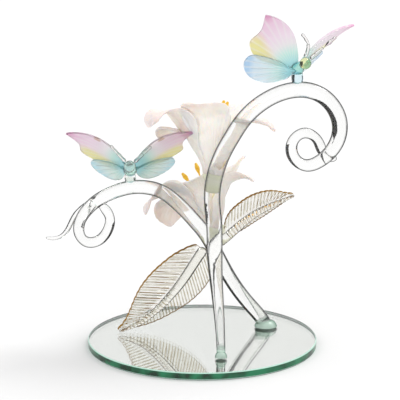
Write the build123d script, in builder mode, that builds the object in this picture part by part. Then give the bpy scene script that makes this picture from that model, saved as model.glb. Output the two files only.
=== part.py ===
# Lampworked glass ornament: two butterflies on curled clear glass stems, with two porcelain lilies
# and two pressed glass leaves, standing on a round mirror. Millimetres. X is to the viewer's right,
# Y is away from the viewer, Z is up. The origin is the centre of the mirror's underside.

from build123d import *
from math import asin, atan, cos, pi, radians, sin, sqrt, tan
import os

# Mirror base
base_diameter = 127.0
mirror_thickness = 4.0
backing_thickness = 0.3
edge_arris = 0.5

# Fused and glued joints: the film between two touching pieces
fuse_gap = 0.15

# Tall stem: front foot, front leg, upright, arch to the right and spiral curl
tall_rise = 56.0
tall_reach = 75.0
tall_depth = 36.0
tall_diameter = 9.3
front_foot_diameter = 6.6
front_foot_height = 3.2

# Arched stem: right foot, right leg, arch to the left, round loop and drawn-out tail
arch_height = 84.0
arch_reach = 68.0
arch_depth = 20.0
arch_diameter = 8.0
right_foot_diameter = 13.0
right_foot_height = 3.4

# Pressed leaves on their supporting rods
left_leaf_length = 68.2
right_leaf_length = 49.7
leaf_thickness = 1.5
rib_height = 0.45
rib_width = 1.0
scallop_depth = 0.35
left_leaf_rod_diameter = 5.6
right_leaf_rod_diameter = 5.2

# Porcelain lilies
throat_radius = 4.8
mouth_radius = 18.0
throat_height = 29.0
petal_length = 28.0
petal_half_width = 8.6
petal_thickness = 1.5
petal_slit = 0.4
calyx_height = 10.0
calyx_lip = 0.5
filament_diameter = 1.2
stamen_length = 40.0

# Butterflies
wing_length = 37.5
wing_thickness = 1.1
wing_bow_radius = 62.0
vein_height = 0.35
vein_width = 0.9
head_diameter = 6.4
thorax_diameter = 6.0
abdomen_diameter = 4.2
thorax_length = 8.0
abdomen_length = 11.0
antenna_diameter = 2.1
antenna_length = 13.0
bead_diameter = 6.4
left_bead_height = 3.0
right_bead_height = 4.3

# Counts
leaf_ribs = 18
rod_stations = 34
stamen_stations = 12
antenna_stations = 6

base_radius = base_diameter / 2
tall_height = arch_height + tall_rise
mirror_top = backing_thickness + mirror_thickness

# Centre-lines of the rods as shares of each rod's reach, depth and height above the mirror
tall_line_shares = [
    (0.134, -1.020, 0.000), (0.131, -0.850, 0.062), (0.124, -0.667, 0.121), (0.113, -0.472, 0.186),
    (0.101, -0.292, 0.254), (0.093, -0.153, 0.317), (0.090, -0.069, 0.376), (0.089, -0.033, 0.439),
    (0.080, -0.028, 0.499), (0.072, -0.028, 0.559), (0.079, -0.042, 0.624), (0.103, -0.056, 0.680),
    (0.146, -0.083, 0.745), (0.210, -0.111, 0.810), (0.289, -0.139, 0.878), (0.392, -0.167, 0.936),
    (0.519, -0.181, 0.979), (0.662, -0.194, 1.001), (0.790, -0.194, 0.995), (0.891, -0.194, 0.964),
    (0.957, -0.181, 0.917), (0.988, -0.167, 0.859), (0.968, -0.144, 0.796), (0.911, -0.125, 0.747),
    (0.829, -0.097, 0.712), (0.744, -0.069, 0.700), (0.675, -0.033, 0.721), (0.645, 0.000, 0.759),
    (0.668, 0.033, 0.799), (0.730, 0.061, 0.820), (0.800, 0.089, 0.810), (0.847, 0.111, 0.781),
    (0.875, 0.125, 0.746), (0.920, 0.135, 0.719), (0.978, 0.140, 0.722),
]
arch_line_shares = [
    (0.530, 1.020, 0.000), (0.469, 0.960, 0.083), (0.397, 0.875, 0.156), (0.317, 0.765, 0.244),
    (0.233, 0.640, 0.354), (0.158, 0.510, 0.472), (0.088, 0.420, 0.587), (0.018, 0.370, 0.686),
    (-0.067, 0.335, 0.772), (-0.148, 0.300, 0.848), (-0.237, 0.275, 0.917), (-0.329, 0.225, 0.973),
    (-0.438, 0.175, 1.002), (-0.550, 0.125, 1.009), (-0.662, 0.060, 0.993), (-0.766, 0.000, 0.962),
    (-0.854, -0.050, 0.922), (-0.931, -0.075, 0.863), (-0.984, -0.100, 0.791), (-0.994, -0.100, 0.720),
    (-0.955, -0.075, 0.661), (-0.891, -0.025, 0.646), (-0.819, 0.025, 0.667), (-0.765, 0.100, 0.722),
    (-0.747, 0.175, 0.788), (-0.775, 0.240, 0.845), (-0.836, 0.300, 0.879), (-0.910, 0.340, 0.887),
    (-0.976, 0.360, 0.859), (-1.029, 0.365, 0.811), (-1.071, 0.360, 0.761), (-1.104, 0.350, 0.704),
    (-1.150, 0.350, 0.666), (-1.216, 0.350, 0.651), (-1.276, 0.350, 0.657),
]

# Rod diameters as shares: share of the way along the rod, then share of its full diameter
tall_taper_shares = [
    (0.0, 0.48), (0.05, 0.56), (0.13, 0.72), (0.2, 0.94), (0.35, 1.0), (0.55, 0.95), (0.72, 0.94),
    (0.82, 0.74), (0.9, 0.66), (0.97, 0.56), (1.0, 0.42),
]
arch_taper_shares = [
    (0.0, 1.0), (0.3, 1.0), (0.5, 0.98), (0.6, 0.9), (0.66, 0.76), (0.78, 0.72), (0.87, 0.5),
    (0.95, 0.42), (1.0, 0.24),
]


def value_along(table, share):
    """Read a table of (share, value) pairs at a share, in straight lines between its rows."""
    for (low, value), (high, following) in zip(table, table[1:]):
        if share <= high:
            return value + (following - value) * (share - low) / (high - low)
    return table[-1][1]


def rod_line(line_shares, reach, depth, height):
    """Smooth centre-line of a rod that starts on the mirror."""
    return Spline(*[Vector(x * reach, y * depth, mirror_top + z * height) for x, y, z in line_shares])


def square_to(line, share):
    """Plane square to a line, with its X axis kept along the world's Y so that sections don't twist."""
    return Plane(origin=line @ share, x_dir=(0, 1, 0), z_dir=line % share)


def rod_stations_of(line, diameter, taper_shares, stations, round_start=False):
    """Shares along a rod and its diameter there, with a domed end and, if asked, a domed start."""
    rows = [(n / stations, diameter * value_along(taper_shares, n / stations)) for n in range(stations)]
    tip = diameter * taper_shares[-1][1] / 2
    dome = [radians(angle) for angle in (0, 35, 60, 80)]
    rows += [(1 - tip * (1 - sin(a)) / line.length, 2 * tip * cos(a)) for a in dome]
    if round_start:
        root = diameter * taper_shares[0][1] / 2
        start = [(root * (1 - sin(a)) / line.length, 2 * root * cos(a)) for a in reversed(dome)]
        rows = start + rows[1:]
    return rows


foot_round_share = 0.44


def foot_profile(diameter, height):
    """Half profile of the melted pad that a rod stands in: flat below, rounded above."""
    Polyline((0, height), (0, 0), (diameter / 2, 0))
    ThreePointArc((diameter / 2, 0), (diameter * foot_round_share, height / 2), (0, height))


# Mirror: a disc of float glass with a ground edge, silvered and painted on its underside
with BuildPart() as base_mirror_glass:
    with BuildSketch(Plane.XY.offset(backing_thickness)):
        Circle(base_radius)
    extrude(amount=mirror_thickness)
    chamfer(base_mirror_glass.edges().filter_by(GeomType.CIRCLE), length=edge_arris)

with BuildPart() as base_mirror_backing:
    with BuildSketch():
        Circle(base_radius - edge_arris)
    extrude(amount=backing_thickness)

# Tall stem: one rod drawn down to a small melted foot, bent over and rolled up at its end
tall_line = rod_line(tall_line_shares, tall_reach, tall_depth, tall_height)
tall_rows = rod_stations_of(tall_line, tall_diameter, tall_taper_shares, rod_stations)
with BuildPart() as tall_stem:
    for share, diameter in tall_rows:
        with BuildSketch(square_to(tall_line, share)):
            Circle(diameter / 2)
    loft()
    with BuildSketch(Plane(origin=tall_line @ 0, x_dir=(1, 0, 0), z_dir=(0, -1, 0))):
        with BuildLine():
            foot_profile(front_foot_diameter, front_foot_height)
        make_face()
    revolve(axis=Axis(tall_line @ 0, (0, 0, 1)))
    split(bisect_by=Plane.XY.offset(mirror_top), keep=Keep.TOP)

# Arched stem: one rod with a flared foot, an arch to the left, a full loop and a tail
arch_line = rod_line(arch_line_shares, arch_reach, arch_depth, arch_height)
arch_rows = rod_stations_of(arch_line, arch_diameter, arch_taper_shares, rod_stations)
with BuildPart() as arched_stem:
    for share, diameter in arch_rows:
        with BuildSketch(square_to(arch_line, share)):
            Circle(diameter / 2)
    loft()
    with BuildSketch(Plane(origin=arch_line @ 0, x_dir=(1, 0, 0), z_dir=(0, -1, 0))):
        with BuildLine():
            foot_profile(right_foot_diameter, right_foot_height)
        make_face()
    revolve(axis=Axis(arch_line @ 0, (0, 0, 1)))
    split(bisect_by=Plane.XY.offset(mirror_top), keep=Keep.TOP)


def height_share(line, height):
    """Share along a rod's centre-line where it first rises to a height above the mirror."""
    low, high = 0.0, 0.5
    for _ in range(20):
        middle = (low + high) / 2
        if (line @ middle).Z - mirror_top < height:
            low = middle
        else:
            high = middle
    return (low + high) / 2


# Pressed leaves. Each leaf is described in its own plane, X from its root to its tip and Y across,
# in shares of its length. Rows: way along, midrib's bow, width to one side, width to the other.
left_leaf_shares = [
    (0.03, 0.006, 0.045, 0.075), (0.06, 0.012, 0.080, 0.150), (0.12, 0.026, 0.125, 0.220),
    (0.20, 0.046, 0.178, 0.257), (0.30, 0.070, 0.221, 0.255), (0.40, 0.090, 0.252, 0.236),
    (0.50, 0.102, 0.261, 0.207), (0.60, 0.108, 0.249, 0.168), (0.70, 0.106, 0.210, 0.129),
    (0.80, 0.094, 0.151, 0.085), (0.90, 0.058, 0.075, 0.040), (1.00, 0.000, 0.008, 0.008),
]
right_leaf_shares = [
    (0.14, 0.022, 0.030, 0.030), (0.20, 0.036, 0.085, 0.125), (0.26, 0.050, 0.100, 0.165),
    (0.34, 0.066, 0.115, 0.190), (0.42, 0.077, 0.122, 0.197), (0.50, 0.084, 0.125, 0.200),
    (0.60, 0.080, 0.118, 0.203), (0.70, 0.068, 0.098, 0.190), (0.80, 0.048, 0.070, 0.160),
    (0.90, 0.026, 0.038, 0.085), (1.00, 0.000, 0.008, 0.008),
]
rib_lead_share = 0.13
rib_inset_share = 0.09
rib_last_share = 0.975


def leaf_plane(root, direction_shares, across_shares):
    """Plane of a leaf: X towards the tip, Z towards the side that the supporting rod is on."""
    along = Vector(*direction_shares).normalized()
    return Plane(origin=root, x_dir=along, z_dir=along.cross(Vector(*across_shares)))


def leaf_curves(leaf_shares, length, narrower=0.0):
    """Midrib and both edges of a leaf as splines in its own plane."""
    midrib = Spline(*[(x * length, y * length) for x, y, _, _ in leaf_shares])
    low_edge = Spline(*[(x * length, (y - low * (1 - narrower)) * length) for x, y, low, _ in leaf_shares])
    high_edge = Spline(*[(x * length, (y + up * (1 - narrower)) * length) for x, y, _, up in leaf_shares])
    return midrib, low_edge, high_edge


def scalloped(edge, outward):
    """A leaf's edge as a row of shallow scallops, one to each rib."""
    knots = [edge @ (n / leaf_ribs) for n in range(leaf_ribs + 1)]
    for first, second in zip(knots, knots[1:]):
        middle = (first + second) / 2
        away = (second - first).rotate(Axis.Z, 90 * outward).normalized()
        depth = min(scallop_depth, (second - first).length / 4)
        ThreePointArc(first, middle + away * depth, second)


def leaf_blade(plane, leaf_shares, length):
    """Pressed blade with scalloped edges and slanting ribs on the side away from its rod."""
    midrib, low_edge, high_edge = leaf_curves(leaf_shares, length)
    rib_limits = leaf_curves(leaf_shares, length, rib_inset_share)[1:]
    with BuildPart() as blade:
        with BuildSketch(plane):
            with BuildLine():
                scalloped(low_edge, -1)
                scalloped(high_edge, 1)
                Line(low_edge @ 0, high_edge @ 0)
                Line(low_edge @ 1, high_edge @ 1)
            make_face()
        extrude(amount=-leaf_thickness)
        with BuildSketch(plane.offset(-leaf_thickness)):
            for edge in rib_limits:
                for n in range(1, leaf_ribs - 1):
                    inner = midrib @ (n / leaf_ribs)
                    outer = edge @ min(n / leaf_ribs + rib_lead_share, rib_last_share)
                    if (outer - inner).length > 2 * rib_width:
                        side = (outer - inner).normalized().rotate(Axis.Z, 90) * rib_width / 2
                        with BuildLine():
                            Polyline(inner - side, outer - side, outer + side, inner + side, close=True)
                        make_face()
        extrude(amount=-rib_height)
    return blade


def leaf_rod(plane, leaf_shares, length, diameter, taper_shares, start_share):
    """Drawn rod that lies along the midrib, tapering to the leaf's tip, domed at both ends."""
    rows = [row for row in leaf_shares if row[0] > start_share]
    points = [Vector(start_share * length, 0, diameter * taper_shares[0][1] / 2 + fuse_gap)]
    for x, y, _, _ in rows:
        way = (x - start_share) / (1 - start_share)
        points.append(Vector(x * length, y * length, diameter * value_along(taper_shares, way) / 2 + fuse_gap))
    line = Spline(*[plane.from_local_coords(point) for point in points])
    with BuildPart() as rod:
        for share, width in rod_stations_of(line, diameter, taper_shares, leaf_ribs, round_start=True):
            with BuildSketch(Plane(origin=line @ share, x_dir=plane.z_dir, z_dir=line % share)):
                Circle(width / 2)
        loft()
    return rod


leaf_taper_shares = [(0.0, 1.0), (0.3, 0.96), (0.6, 0.72), (0.85, 0.46), (1.0, 0.25)]
tip_lift_share = 0.62
leaf_seat_share = 0.20
left_leaf_across_shares = (0.640, 0.470, -0.608)
right_leaf_direction_shares = (0.856, 0.040, 0.516)
right_leaf_across_shares = (-0.453, -0.422, 0.785)
left_root_height_share = 0.60
right_root_height_share = 0.63

left_hub = arch_line @ height_share(arch_line, arch_height * left_root_height_share)
left_root = left_hub + Vector(-arch_diameter / 2 - left_leaf_rod_diameter * leaf_seat_share, 0, 0)
left_tip_height = mirror_top + left_leaf_rod_diameter * leaf_taper_shares[-1][1] * tip_lift_share + fuse_gap
left_fall_share = (left_root.Z - left_tip_height) / left_leaf_length
left_leaf_direction_shares = (-cos(asin(left_fall_share)), 0, -left_fall_share)
left_plane = leaf_plane(left_root, left_leaf_direction_shares, left_leaf_across_shares)
left_leaf_blade = leaf_blade(left_plane, left_leaf_shares, left_leaf_length)
left_leaf_rod = leaf_rod(
    left_plane, left_leaf_shares, left_leaf_length, left_leaf_rod_diameter, leaf_taper_shares, 0.0
)

right_hub = arch_line @ height_share(arch_line, arch_height * right_root_height_share)
right_root = right_hub + Vector(arch_diameter / 2, 0, 0)
right_plane = leaf_plane(right_root, right_leaf_direction_shares, right_leaf_across_shares)
right_leaf_blade = leaf_blade(right_plane, right_leaf_shares, right_leaf_length)
right_leaf_rod = leaf_rod(
    right_plane, right_leaf_shares, right_leaf_length, right_leaf_rod_diameter, leaf_taper_shares, 0.0
)

# Porcelain lilies. Six petals are slipped together side by side into a throat and curl out of it.
# Rows: bearing round the flower as a share of a turn, height where the petal leaves the throat as a
# share of the throat, free length as a share of a petal, curl as a share of half a turn.
petal_names = ["left", "front", "right", "right_back", "back", "left_back"]
upper_petal_shares = [
    (0.564, 1.02, 0.82, 0.78), (0.725, 0.98, 0.72, 0.34), (0.965, 0.70, 0.96, 0.64),
    (1.106, 0.92, 0.72, 0.26), (1.256, 0.85, 0.72, 0.36), (1.411, 0.62, 0.86, 0.68),
]
lower_petal_shares = [
    (0.542, 0.66, 1.10, 0.76), (0.711, 0.42, 0.40, 0.50), (0.946, 0.62, 0.74, 0.72),
    (1.083, 0.92, 0.58, 0.26), (1.236, 0.85, 0.72, 0.36), (1.389, 0.56, 0.96, 0.84),
]
throat_curve_share = 1.35
widest_room_share = 0.088
joined_share = 0.9
free_width_shares = [(0.0, 1.0), (0.4, 1.0), (0.6, 0.93), (0.8, 0.68), (0.93, 0.36), (1.0, 0.10)]
petal_taper_shares = [(0.0, 1.0), (0.5, 0.85), (1.0, 0.5)]
cup_shares = [(0.0, 0.30), (0.5, 0.22), (1.0, 0.16)]


def petal_section(left_angle, right_angle, radius, thickness):
    """Outline of a curved strip across a petal, hollow side towards +Y."""
    inner = radius - thickness
    first = (-radius * sin(left_angle), radius * (1 - cos(left_angle)))
    last = (radius * sin(right_angle), radius * (1 - cos(right_angle)))
    first_inner = (-inner * sin(left_angle), radius - inner * cos(left_angle))
    last_inner = (inner * sin(right_angle), radius - inner * cos(right_angle))
    ThreePointArc(first, (0, 0), last)
    Line(last, last_inner)
    ThreePointArc(last_inner, (0, thickness), first_inner)
    Line(first_inner, first)


def lily_petal(flower, petal_share_row, room_before, room_after):
    """One petal lofted up its throat and along its curl, always inside its own wedge of the flower."""
    bearing_share, split_share, length_share, curl_share = petal_share_row
    outward, around = bearing_directions(flower, bearing_share)
    growth = mouth_radius - throat_radius
    widest_room = 2 * pi * widest_room_share

    def rooms(up_share):
        """Half angles of the petal's wedge, which narrow where petals part and neighbours are far."""
        return [room + (min(room, widest_room) - room) * up_share for room in (room_before, room_after)]

    def section_plane(radius, height, lean):
        origin = flower.origin + outward * radius + flower.z_dir * height
        return Plane(origin=origin, x_dir=around, z_dir=outward * sin(lean) + flower.z_dir * cos(lean))

    with BuildPart() as petal:
        for way_share in (0, 0.2, 0.4, 0.6, 0.8, 1.0):
            height = throat_height * split_share * way_share
            up_share = height / throat_height
            radius = throat_radius + growth * up_share**throat_curve_share
            lean = atan(growth / throat_height * throat_curve_share * up_share ** (throat_curve_share - 1))
            bend = radius / cos(lean)
            slit = petal_slit / 2 / radius
            angles = [asin(sin(room - slit) * cos(lean)) for room in rooms(min(up_share / joined_share, 1))]
            with BuildSketch(section_plane(radius, height, lean)):
                with BuildLine():
                    petal_section(*angles, bend, petal_thickness)
                make_face()
        free_length = petal_length * length_share
        turn = pi * curl_share
        edge_widths = [bend * sin(angle) for angle in angles]
        edge_cup = max(angles)
        for way_share in (0.2, 0.4, 0.6, 0.8, 0.93, 1.0):
            angle = lean + turn * way_share
            out = radius + free_length / turn * (cos(lean) - cos(angle))
            up = height + free_length / turn * (sin(angle) - sin(lean))
            blend_share = min(1.0, way_share / 0.5)
            cup = edge_cup + (pi / 2 * value_along(cup_shares, way_share) - edge_cup) * blend_share
            thickness = petal_thickness * value_along(petal_taper_shares, way_share)
            inward = max(0, cos(angle))
            widths = []
            for edge, room in zip(edge_widths, rooms(1)):
                wanted = edge + (petal_half_width - edge) * blend_share
                allowed = (out - inward * thickness) * tan(room) - petal_slit / 2 / cos(room)
                allowed /= 1 + inward * tan(cup / 2) * tan(room)
                widths.append(min(wanted, allowed) * value_along(free_width_shares, way_share))
            cup_radius = max(widths) / sin(cup)
            with BuildSketch(section_plane(out, up, angle)):
                with BuildLine():
                    petal_section(*[asin(width / cup_radius) for width in widths], cup_radius, thickness)
                make_face()
        loft()
        for room, hand in ((room_before, -1), (room_after, 1)):
            inward_normal = outward * sin(room) - around * (cos(room) * hand)
            seam = Plane(origin=flower.origin + inward_normal * (petal_slit / 2), z_dir=inward_normal)
            split(bisect_by=seam, keep=Keep.TOP)
    return petal


def lily(flower, petal_shares):
    """The six petals of a flower by name."""
    bearings = [row[0] for row in petal_shares]
    gaps = [after - before for before, after in zip(bearings, bearings[1:] + [bearings[0] + 1])]
    return {
        name: lily_petal(flower, row, pi * gaps[index - 1], pi * gaps[index])
        for index, (name, row) in enumerate(zip(petal_names, petal_shares))
    }


def lily_calyx(flower):
    """Tinted porcelain cup under a flower, glued to the stem behind it."""
    top = throat_radius + calyx_lip
    with BuildPart() as calyx:
        with BuildSketch(Plane(origin=flower.origin, x_dir=flower.x_dir, z_dir=-flower.y_dir)):
            with BuildLine():
                Polyline((0, -calyx_height), (0, 0), (top, 0))
                Spline(
                    (top, 0), (top * 0.86, -calyx_height * 0.3), (top * 0.56, -calyx_height * 0.7),
                    (0, -calyx_height), tangents=[(0, -1), (-1, 0)],
                )
            make_face()
        revolve(axis=Axis(flower.origin, flower.z_dir))
    return calyx


# Stamens stand on the floor of the throat. Rows: bearing of the foot, bearing that the stamen leans
# to, how far it leans and how long it is, all as shares.
upper_stamen_shares = [(0.95, 0.085, 0.185, 1.00), (0.25, 0.062, 0.28, 0.98), (0.60, 0.60, 0.12, 0.86)]
lower_stamen_shares = [(0.55, 0.46, 0.22, 0.90), (0.20, 0.30, 0.05, 1.00), (0.85, 0.15, 0.12, 0.78)]
stamen_taper_shares = [
    (0.0, 1.0), (0.84, 0.9), (0.88, 1.5), (0.92, 2.3), (0.97, 2.2), (1.0, 1.4),
]


def bearing_directions(flower, bearing_share):
    """Outward and sideways directions of a bearing round a flower's centre-line."""
    bearing = 2 * pi * bearing_share
    outward = flower.x_dir * cos(bearing) + flower.y_dir * sin(bearing)
    around = flower.y_dir * cos(bearing) - flower.x_dir * sin(bearing)
    return outward, around


def lily_stamens(flower, stamen_shares):
    """Yellow glazed stamens, each a filament with a swollen anther."""
    foot_radius = (throat_radius - petal_thickness) / 2
    with BuildPart() as stamens:
        for foot_share, lean_bearing_share, lean_share, length_share in stamen_shares:
            foot_direction, _ = bearing_directions(flower, foot_share)
            lean_direction, _ = bearing_directions(flower, lean_bearing_share)
            length = stamen_length * length_share
            foot = flower.origin + foot_direction * foot_radius + flower.z_dir * fuse_gap
            line = Spline(*[
                foot + lean_direction * (length * lean_share * way**2) + flower.z_dir * (length * way)
                for way in (0, 0.25, 0.5, 0.75, 1.0)
            ])
            for share, width in rod_stations_of(line, filament_diameter, stamen_taper_shares, stamen_stations):
                with BuildSketch(Plane(origin=line @ share, x_dir=flower.y_dir, z_dir=line % share)):
                    Circle(width / 2)
            loft()
    return stamens


# Upper lily, glued behind the tall stem; lower lily, glued behind the arched stem
upper_seat_rise_share = 0.125
upper_offset_share = -0.14
upper_axis_shares = (-0.03, 0.19, 0.98)
lower_seat_height_share = 0.69
lower_offset_share = 0.82
lower_axis_shares = (-0.28, 0.42, 0.863)


def flower_plane(line, seat_height, rod_diameter, offset, axis_shares):
    """Plane of a flower: origin on the calyx top behind its rod, Z up the throat."""
    seat = line @ height_share(line, seat_height)
    behind = rod_diameter / 2 + fuse_gap + throat_radius + calyx_lip
    axis = Vector(*axis_shares).normalized()
    across = (Vector(1, 0, 0) - axis * axis.X).normalized()
    return Plane(origin=seat + Vector(offset, behind, 0), x_dir=across, z_dir=axis)


upper_flower = flower_plane(
    tall_line, arch_height + tall_rise * upper_seat_rise_share, tall_diameter,
    tall_diameter * upper_offset_share, upper_axis_shares,
)
lower_flower = flower_plane(
    arch_line, arch_height * lower_seat_height_share, arch_diameter, arch_diameter * lower_offset_share,
    lower_axis_shares,
)

# Butterflies. Wing outlines in shares of the wing's length: X along its span, Y towards its tail.
forewing_front_shares = [
    (0.03, -0.03), (0.11, -0.10), (0.25, -0.16), (0.47, -0.21), (0.765, -0.156), (1.0, 0.0),
]
forewing_back_shares = [
    (1.0, 0.0), (0.93, 0.05), (0.815, 0.133), (0.75, 0.232), (0.705, 0.368), (0.587, 0.424),
    (0.47, 0.424), (0.25, 0.28), (0.05, 0.08),
]
hindwing_front_shares = [(0.0, 0.03), (0.2, 0.14), (0.42, 0.34), (0.49, 0.42)]
hindwing_back_shares = [
    (0.49, 0.42), (0.475, 0.57), (0.385, 0.632), (0.225, 0.625), (0.07, 0.505), (-0.02, 0.29), (-0.025, 0.10),
]
forewing_vein_shares = [(0.70, -0.14), (0.86, -0.01), (0.72, 0.12), (0.64, 0.28), (0.46, 0.34)]
hindwing_vein_shares = [(0.41, 0.48), (0.33, 0.55), (0.20, 0.55), (0.07, 0.42)]
thorax_profile_shares = [
    (0.46, 0.20), (0.36, 0.36), (0.17, 0.47), (-0.04, 0.50), (-0.27, 0.42), (-0.46, 0.31),
]
abdomen_profile_shares = [
    (0.16, 0.41), (0.40, 0.50), (0.66, 0.46), (0.86, 0.32), (0.96, 0.17),
]
head_seat_share = 0.72


def wing(root, span_shares, chord_shares, up, front_shares, back_shares, vein_shares, underneath):
    """Bowed wing cut from a tube wall, with raised veins that fan out from its root."""
    span = Vector(*span_shares).normalized()
    chord = Vector(*chord_shares)
    chord = (chord - span * chord.dot(span)).normalized()
    flat = Plane(origin=root, x_dir=span, z_dir=span.cross(chord))
    drop = sqrt(wing_bow_radius**2 - (wing_length / 2) ** 2)
    tube = Plane(
        origin=root + span * (wing_length / 2) - flat.z_dir * (up * drop), x_dir=span, z_dir=chord
    )
    inner = wing_bow_radius - (wing_thickness + fuse_gap) * underneath
    outer = inner + wing_thickness
    ridge = outer + vein_height * (1 - underneath)
    valley = inner - vein_height * underneath

    with BuildPart() as veins:
        with BuildSketch(tube):
            Circle(ridge)
            Circle(valley, mode=Mode.SUBTRACT)
        extrude(amount=wing_length, both=True)
        with BuildSketch(flat):
            for x_share, y_share in vein_shares:
                end = Vector(x_share, y_share) * wing_length
                side = end.normalized().rotate(Axis.Z, 90) * vein_width / 2
                with BuildLine():
                    Polyline(side, -side, end - side / 2, end + side / 2, close=True)
                make_face()
        extrude(amount=wing_length / 2, both=True, mode=Mode.INTERSECT)

    with BuildPart() as blade:
        with BuildSketch(tube):
            Circle(outer)
            Circle(inner, mode=Mode.SUBTRACT)
        extrude(amount=wing_length, both=True)
        with BuildSketch(flat):
            with BuildLine():
                front = Spline(*[Vector(x, y) * wing_length for x, y in front_shares])
                back = Spline(*[Vector(x, y) * wing_length for x, y in back_shares])
                Line(back @ 1, front @ 0)
            make_face()
        extrude(amount=wing_length / 2, both=True, mode=Mode.INTERSECT)
        add(veins.part)
    return blade


def body_profile(grow):
    """Half profile of a butterfly's thorax and abdomen, X along its back and Y outwards."""
    waist = -thorax_length / 2
    front = (thorax_length / 2 + grow, 0)
    end = (waist - abdomen_length - grow, 0)
    thorax = [(x * thorax_length, y * thorax_diameter + grow) for x, y in thorax_profile_shares]
    abdomen = [
        (waist - x * abdomen_length, y * abdomen_diameter + grow) for x, y in abdomen_profile_shares
    ]
    Line(end, front)
    Spline(front, *thorax, *abdomen, end)


def clear_of_body(blade, back_plane):
    """Cut the thorax's shape, with its glued joint, out of a wing's root."""
    with BuildPart() as cut:
        add(blade.part)
        with BuildSketch(back_plane):
            with BuildLine():
                body_profile(fuse_gap)
            make_face()
        revolve(axis=Axis(back_plane.origin, back_plane.x_dir), mode=Mode.SUBTRACT)
    return cut


def butterfly(perch, rod_plane, rod_width, bead_height, forward_shares, wing_rows, antenna_rows):
    """All the pieces of one butterfly by name. It sits on a bead on top of its rod."""
    forward = Vector(*forward_shares).normalized()
    centre = perch + Vector(0, 0, rod_width / 2 + bead_height + thorax_diameter / 2)
    side = forward.cross(Vector(0, 0, 1)).normalized()
    back_plane = Plane(origin=centre, x_dir=forward, z_dir=side)
    head_centre = centre + forward * (thorax_length / 2 + head_diameter / 2 * head_seat_share)

    with BuildPart() as body:
        with BuildSketch(back_plane):
            with BuildLine():
                body_profile(0)
            make_face()
        revolve(axis=Axis(centre, forward))
        with Locations(head_centre):
            Sphere(head_diameter / 2 + fuse_gap, mode=Mode.SUBTRACT)

    with BuildPart() as head:
        with Locations(head_centre):
            Sphere(head_diameter / 2)

    with BuildPart() as bead:
        middle = rod_width / 2 + bead_height / 2
        with BuildSketch(Plane(origin=perch, x_dir=(1, 0, 0), z_dir=(0, -1, 0))):
            with BuildLine():
                low, high = middle - bead_height, middle + bead_height
                Polyline((bead_diameter * 0.3, low), (0, low), (0, high), (bead_diameter * 0.3, high))
                ThreePointArc(
                    (bead_diameter * 0.3, high), (bead_diameter / 2, middle), (bead_diameter * 0.3, low)
                )
            make_face()
        revolve(axis=Axis(perch, (0, 0, 1)))
        with BuildSketch(rod_plane):
            Circle(rod_width / 2 + fuse_gap)
        extrude(amount=bead_diameter, both=True, mode=Mode.SUBTRACT)
        with BuildSketch(back_plane):
            with BuildLine():
                body_profile(fuse_gap)
            make_face()
        revolve(axis=Axis(centre, forward), mode=Mode.SUBTRACT)

    with BuildPart() as antennae:
        for direction_shares, bow_shares, length_share in antenna_rows:
            direction = Vector(*direction_shares).normalized()
            start = head_centre + direction * (head_diameter / 2 + 2 * fuse_gap)
            length = antenna_length * length_share
            bow = Vector(*bow_shares) * length
            line = Spline(start, start + direction * (length / 2) + bow, start + direction * length)
            for share, width in rod_stations_of(
                line, antenna_diameter, antenna_taper_shares, antenna_stations, round_start=True
            ):
                with BuildSketch(Plane(origin=line @ share, x_dir=side, z_dir=line % share)):
                    Circle(width / 2)
            loft()

    found = {"body": body, "head": head, "antennae": antennae, "bead": bead}
    for name, root_shares, span_shares, chord_shares, up in wing_rows:
        root = centre + Vector(*root_shares) * thorax_diameter
        found[name + "_forewing"] = clear_of_body(
            wing(root, span_shares, chord_shares, up, forewing_front_shares, forewing_back_shares,
                 forewing_vein_shares, 0),
            back_plane,
        )
        found[name + "_hindwing"] = clear_of_body(
            wing(root, span_shares, chord_shares, up, hindwing_front_shares, hindwing_back_shares,
                 hindwing_vein_shares, 1),
            back_plane,
        )
    return found


antenna_taper_shares = [(0.0, 1.0), (0.7, 0.75), (0.9, 0.7), (1.0, 0.8)]
left_perch_reach_share = 1.192
left_forward_shares = (0.0, -0.87, 0.49)
left_wing_shares = [
    ("left", (-0.40, -0.17, 0.22), (-0.873, 0.10, 0.477), (-0.229, 0.778, -0.585), -1),
    ("right", (0.40, -0.17, 0.22), (0.85, -0.02, 0.51), (0.266, 0.783, -0.563), 1),
]
left_antenna_shares = [((-10.1, -1.5, 11.7), (0, 0, 0), 0.94), ((12.0, -1.5, 11.4), (0, 0, 0), 0.99)]
right_perch_share = 0.597
right_forward_shares = (0.60, -0.55, 0.46)
right_wing_shares = [
    ("left", (-0.17, -0.25, -0.08), (-0.44, -0.376, 0.81), (-0.885, 0.038, -0.461), -1),
    ("right", (0.20, 0.48, 0.08), (0.80, 0.24, 0.55), (-0.45, 0.62, -0.643), 1),
]
right_antenna_shares = [((-2.3, -2.5, 15.5), (0.20, 0, 0), 1.0), ((16.0, 1.5, 13.9), (0, 0, 0), 1.38)]


def width_at(diameter, taper_shares, share):
    """Diameter of a rod at a share along it."""
    return diameter * value_along(taper_shares, share)


def share_left_of(line, place, start_share, end_share):
    """Share along a rod's centre-line where it passes a place on its way to the left."""
    for _ in range(20):
        middle = (start_share + end_share) / 2
        if (line @ middle).X > place:
            start_share = middle
        else:
            end_share = middle
    return (start_share + end_share) / 2


left_perch_share = share_left_of(
    arch_line, upper_flower.origin.X - wing_length * left_perch_reach_share, 0.35, 0.65
)
left_butterfly = butterfly(
    arch_line @ left_perch_share, square_to(arch_line, left_perch_share),
    width_at(arch_diameter, arch_taper_shares, left_perch_share), left_bead_height,
    left_forward_shares, left_wing_shares, left_antenna_shares,
)
right_butterfly = butterfly(
    tall_line @ right_perch_share, square_to(tall_line, right_perch_share),
    width_at(tall_diameter, tall_taper_shares, right_perch_share), right_bead_height,
    right_forward_shares, right_wing_shares, right_antenna_shares,
)

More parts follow.
